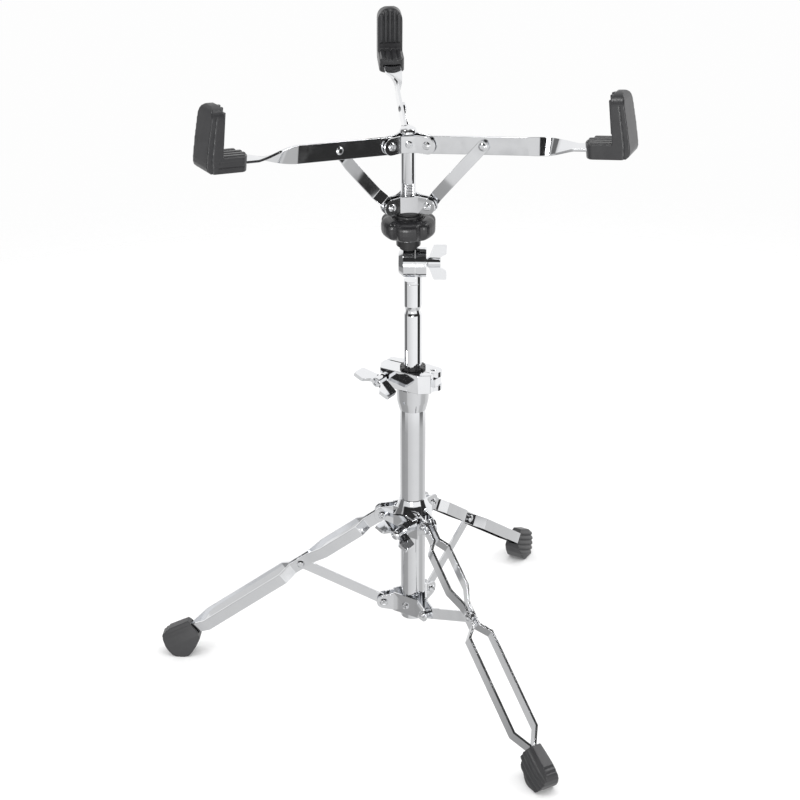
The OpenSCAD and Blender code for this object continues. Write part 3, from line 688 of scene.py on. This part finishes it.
def fit_hub_cap():
    """A thin flared cap with six straight edges: three over the webs and three over the legs."""
    bore = 12.75 * MM
    flare = ((23.2, 174.8), (22.4, 175.4), (19.8, 177.7), (17.4, 180.6), (15.6, 183.4), (14.5, 186), (13.9, 188.4),
             (13.5, 190.1))
    cap = turned("leg_hub_collar", [(r * MM, z * MM) for r, z in flare], 72)
    carve(cap, prism("flange", [(22.6 * MM * x, 22.6 * MM * y) for x, y in (
        (math.cos(math.radians(30 + 60 * n)), math.sin(math.radians(30 + 60 * n))) for n in range(6))],
        170 * MM, 195 * MM), "INTERSECT")
    hollow = turned("hollow", [(r * MM - 1.3 * MM, z * MM - 0.9 * MM) for r, z in ((25, 173),) + flare[:-2]], 72)
    carve(cap, hollow, "DIFFERENCE")
    carve(cap, turned("tube_bore", [(bore, 170 * MM), (bore, 200 * MM)]), "DIFFERENCE")
    soften(cap, 0.3 * MM)
    fit_out(cap, "cast_chrome", BODY_OF["leg_hub_cap"], "leg_hub_cap")


# ---------- metal that keeps the frame's shape ----------

PLATED = {
    "tube_chrome": (0.3, ["base_tube", "tube_ferrule", "upper_tube"]),
    "cast_chrome": (0.6, ["clamp_body", "clamp_jaw", "tilter_lower", "tilter_upper", "shaft_cap"]),
    "strip_chrome": (0.3, ["lower_hub_plates", "leg_hub_plates", "top_hub_plates", "sliding_hub_plates"]
                     + [f"{leg}_leg_{part}" for leg in LEGS for part in ("strip_a", "strip_b", "brace")]
                     + [f"{arm}_arm_brace" for arm in ARMS]),
    "fastener_chrome": (0.25, ["clamp_hinge_pin", "clamp_bolt", "lower_hub_rivets", "lower_hub_screw",
                               "leg_hub_rivets", "leg_hub_nut", "tilter_bolt", "top_hub_rivets",
                               "top_hub_screw", "sliding_hub_rivets"]
                        + [f"{leg}_leg_rivet" for leg in LEGS] + [f"{arm}_arm_rivet" for arm in ARMS]),
    "black_nylon": (0.3, ["height_bush", "stem_collar", "sliding_hub_washer"]),
}


def plate_the_frame():
    """Rounds and plates the parts whose shape is the frame's own."""
    for finish, (edge, nodes) in PLATED.items():
        for node in nodes:
            finished_node(node, finish, edge * MM)


plate_the_frame()
fit_rests()
fit_feet()
fit_knob()
fit_shaft()
fit_arms()
fit_wing_heads()
fit_hub_cap()
fit_rivet_faces()


# ---------- studio ----------

def build_floor():
    """A pale round floor that fades into the pale surroundings."""
    deselect()
    bpy.ops.mesh.primitive_circle_add(vertices=96, radius=1.9, fill_type="NGON", location=(0, 0, 0))
    floor = bpy.context.object
    floor.name = "studio_floor"
    material, shader = new_shader("studio_floor")
    place = shader.place()
    length = shader.node("ShaderNodeVectorMath", {"operation": "LENGTH"}, {0: place}).outputs["Value"]
    paper = shader.noise(place, 30 * MM, 4.0)
    finish_material(shader, shader.surface(
        {"Base Color": shader.mixed(paper * 0.2, (0.93, 0.93, 0.93, 1), (0.90, 0.90, 0.90, 1)),
         "Alpha": Value(shader, length).eased(1.85, 0.9)},
        {"Roughness": 0.9, "Specular IOR Level": 0.0}))
    floor.data.materials.append(material)
    floor.visible_glossy = False


def build_surroundings():
    """Pale walls with a dark ceiling and dark side panels for the chrome to mirror."""
    world = bpy.data.worlds.new("studio")
    world.use_nodes = True
    bpy.context.scene.world = world
    shader = Shader(world.node_tree)
    toward = shader.node("ShaderNodeTexCoord").outputs["Generated"]
    x, y, z = (shader.axis(toward, letter) for letter in "XYZ")
    degrees = math.degrees(1)
    turn = x.maths("ARCTAN2", -1 * y) * degrees
    rise = z.maths("ARCSINE") * degrees
    over = z.maths("ARCTAN2", -1 * y) * degrees

    def band(value, centre, half, soft):
        """1 within half degrees of the centre, then down to 0 over soft degrees."""
        return abs(value - centre).eased(half + soft, half)

    below = rise.eased(-24.1, -25.1)
    ceiling = band(over, 48, 27, 5) * rise.eased(9, 15) * band(turn, 0, 62, 14)
    right_panel = band(turn, 85, 19, 3) * (1 - 0.5 * below)
    left_panel = band(turn, -95, 17, 6) * 0.8 * (1 - 0.35 * below)
    left_wall = turn.eased(-32, -46) * turn.eased(-125, -110) * below * 0.5
    right_wall = turn.eased(48, 60) * turn.eased(150, 130) * below * 0.35
    carpet = below * 0.24
    dark = ceiling.maths("MAXIMUM", right_panel).maths("MAXIMUM", left_panel).maths("MAXIMUM", left_wall) \
        .maths("MAXIMUM", right_wall).maths("MAXIMUM", carpet)
    wash = 1 - 0.28 * turn.eased(30, -75) * turn.eased(-145, -110)
    brightness = wash * (1 - 0.97 * dark)
    studio = shader.node("ShaderNodeBackground", None, {"Strength": 1.22 * brightness})
    backdrop = shader.node("ShaderNodeBackground", None, {"Color": (0.985, 0.985, 0.985, 1), "Strength": 1.0})
    mirrored = shader.node("ShaderNodeLightPath").outputs["Is Glossy Ray"]
    mixed = shader.node("ShaderNodeMixShader", None, {0: mirrored, 1: backdrop.outputs[0], 2: studio.outputs[0]})
    shader.node("ShaderNodeOutputWorld", None, {"Surface": mixed.outputs[0]})


def add_softbox(name, place, aim, size, power, mirrored=False):
    """A soft square light. Those that are mirrored show in the chrome and on the rubber's edges."""
    deselect()
    bpy.ops.object.light_add(type="AREA", location=place)
    light = bpy.context.object
    light.name = name
    light.data.size = size
    light.data.energy = power
    light.rotation_euler = (Vector(aim) - Vector(place)).to_track_quat("-Z", "Y").to_euler()
    light.visible_camera = False
    light.visible_glossy = mirrored


def add_camera():
    """A camera before the stand, a little above it."""
    data = bpy.data.cameras.new("camera")
    data.lens = 65.34
    data.shift_x = -0.016
    data.clip_start = 0.05
    camera = bpy.data.objects.new("camera", data)
    bpy.context.scene.collection.objects.link(camera)
    camera.location = (0.0301, -1.3055, 0.8752)
    camera.rotation_euler = (math.radians(90 - 23.9), 0, math.radians(1.32))
    bpy.context.scene.camera = camera


build_floor()
build_surroundings()
add_softbox("top_light", (0.2, -0.4, 2.2), (0, 0, 0.2), 1.8, 9)
add_softbox("side_light", (1.6, -0.9, 1.2), (0, 0, 0.35), 0.9, 5)
add_softbox("low_card", (-0.18, -1.25, 0.26), (0, 0, 0.5), 0.3, 2.4, True)
add_softbox("left_card", (-0.9, -0.7, 1.7), (0, 0, 0.4), 0.34, 4.5, True)
add_softbox("right_card", (1.15, 0.1, 1.6), (0, 0, 0.4), 0.34, 4.5, True)
add_camera()
bpy.context.scene.view_settings.view_transform = "Standard"
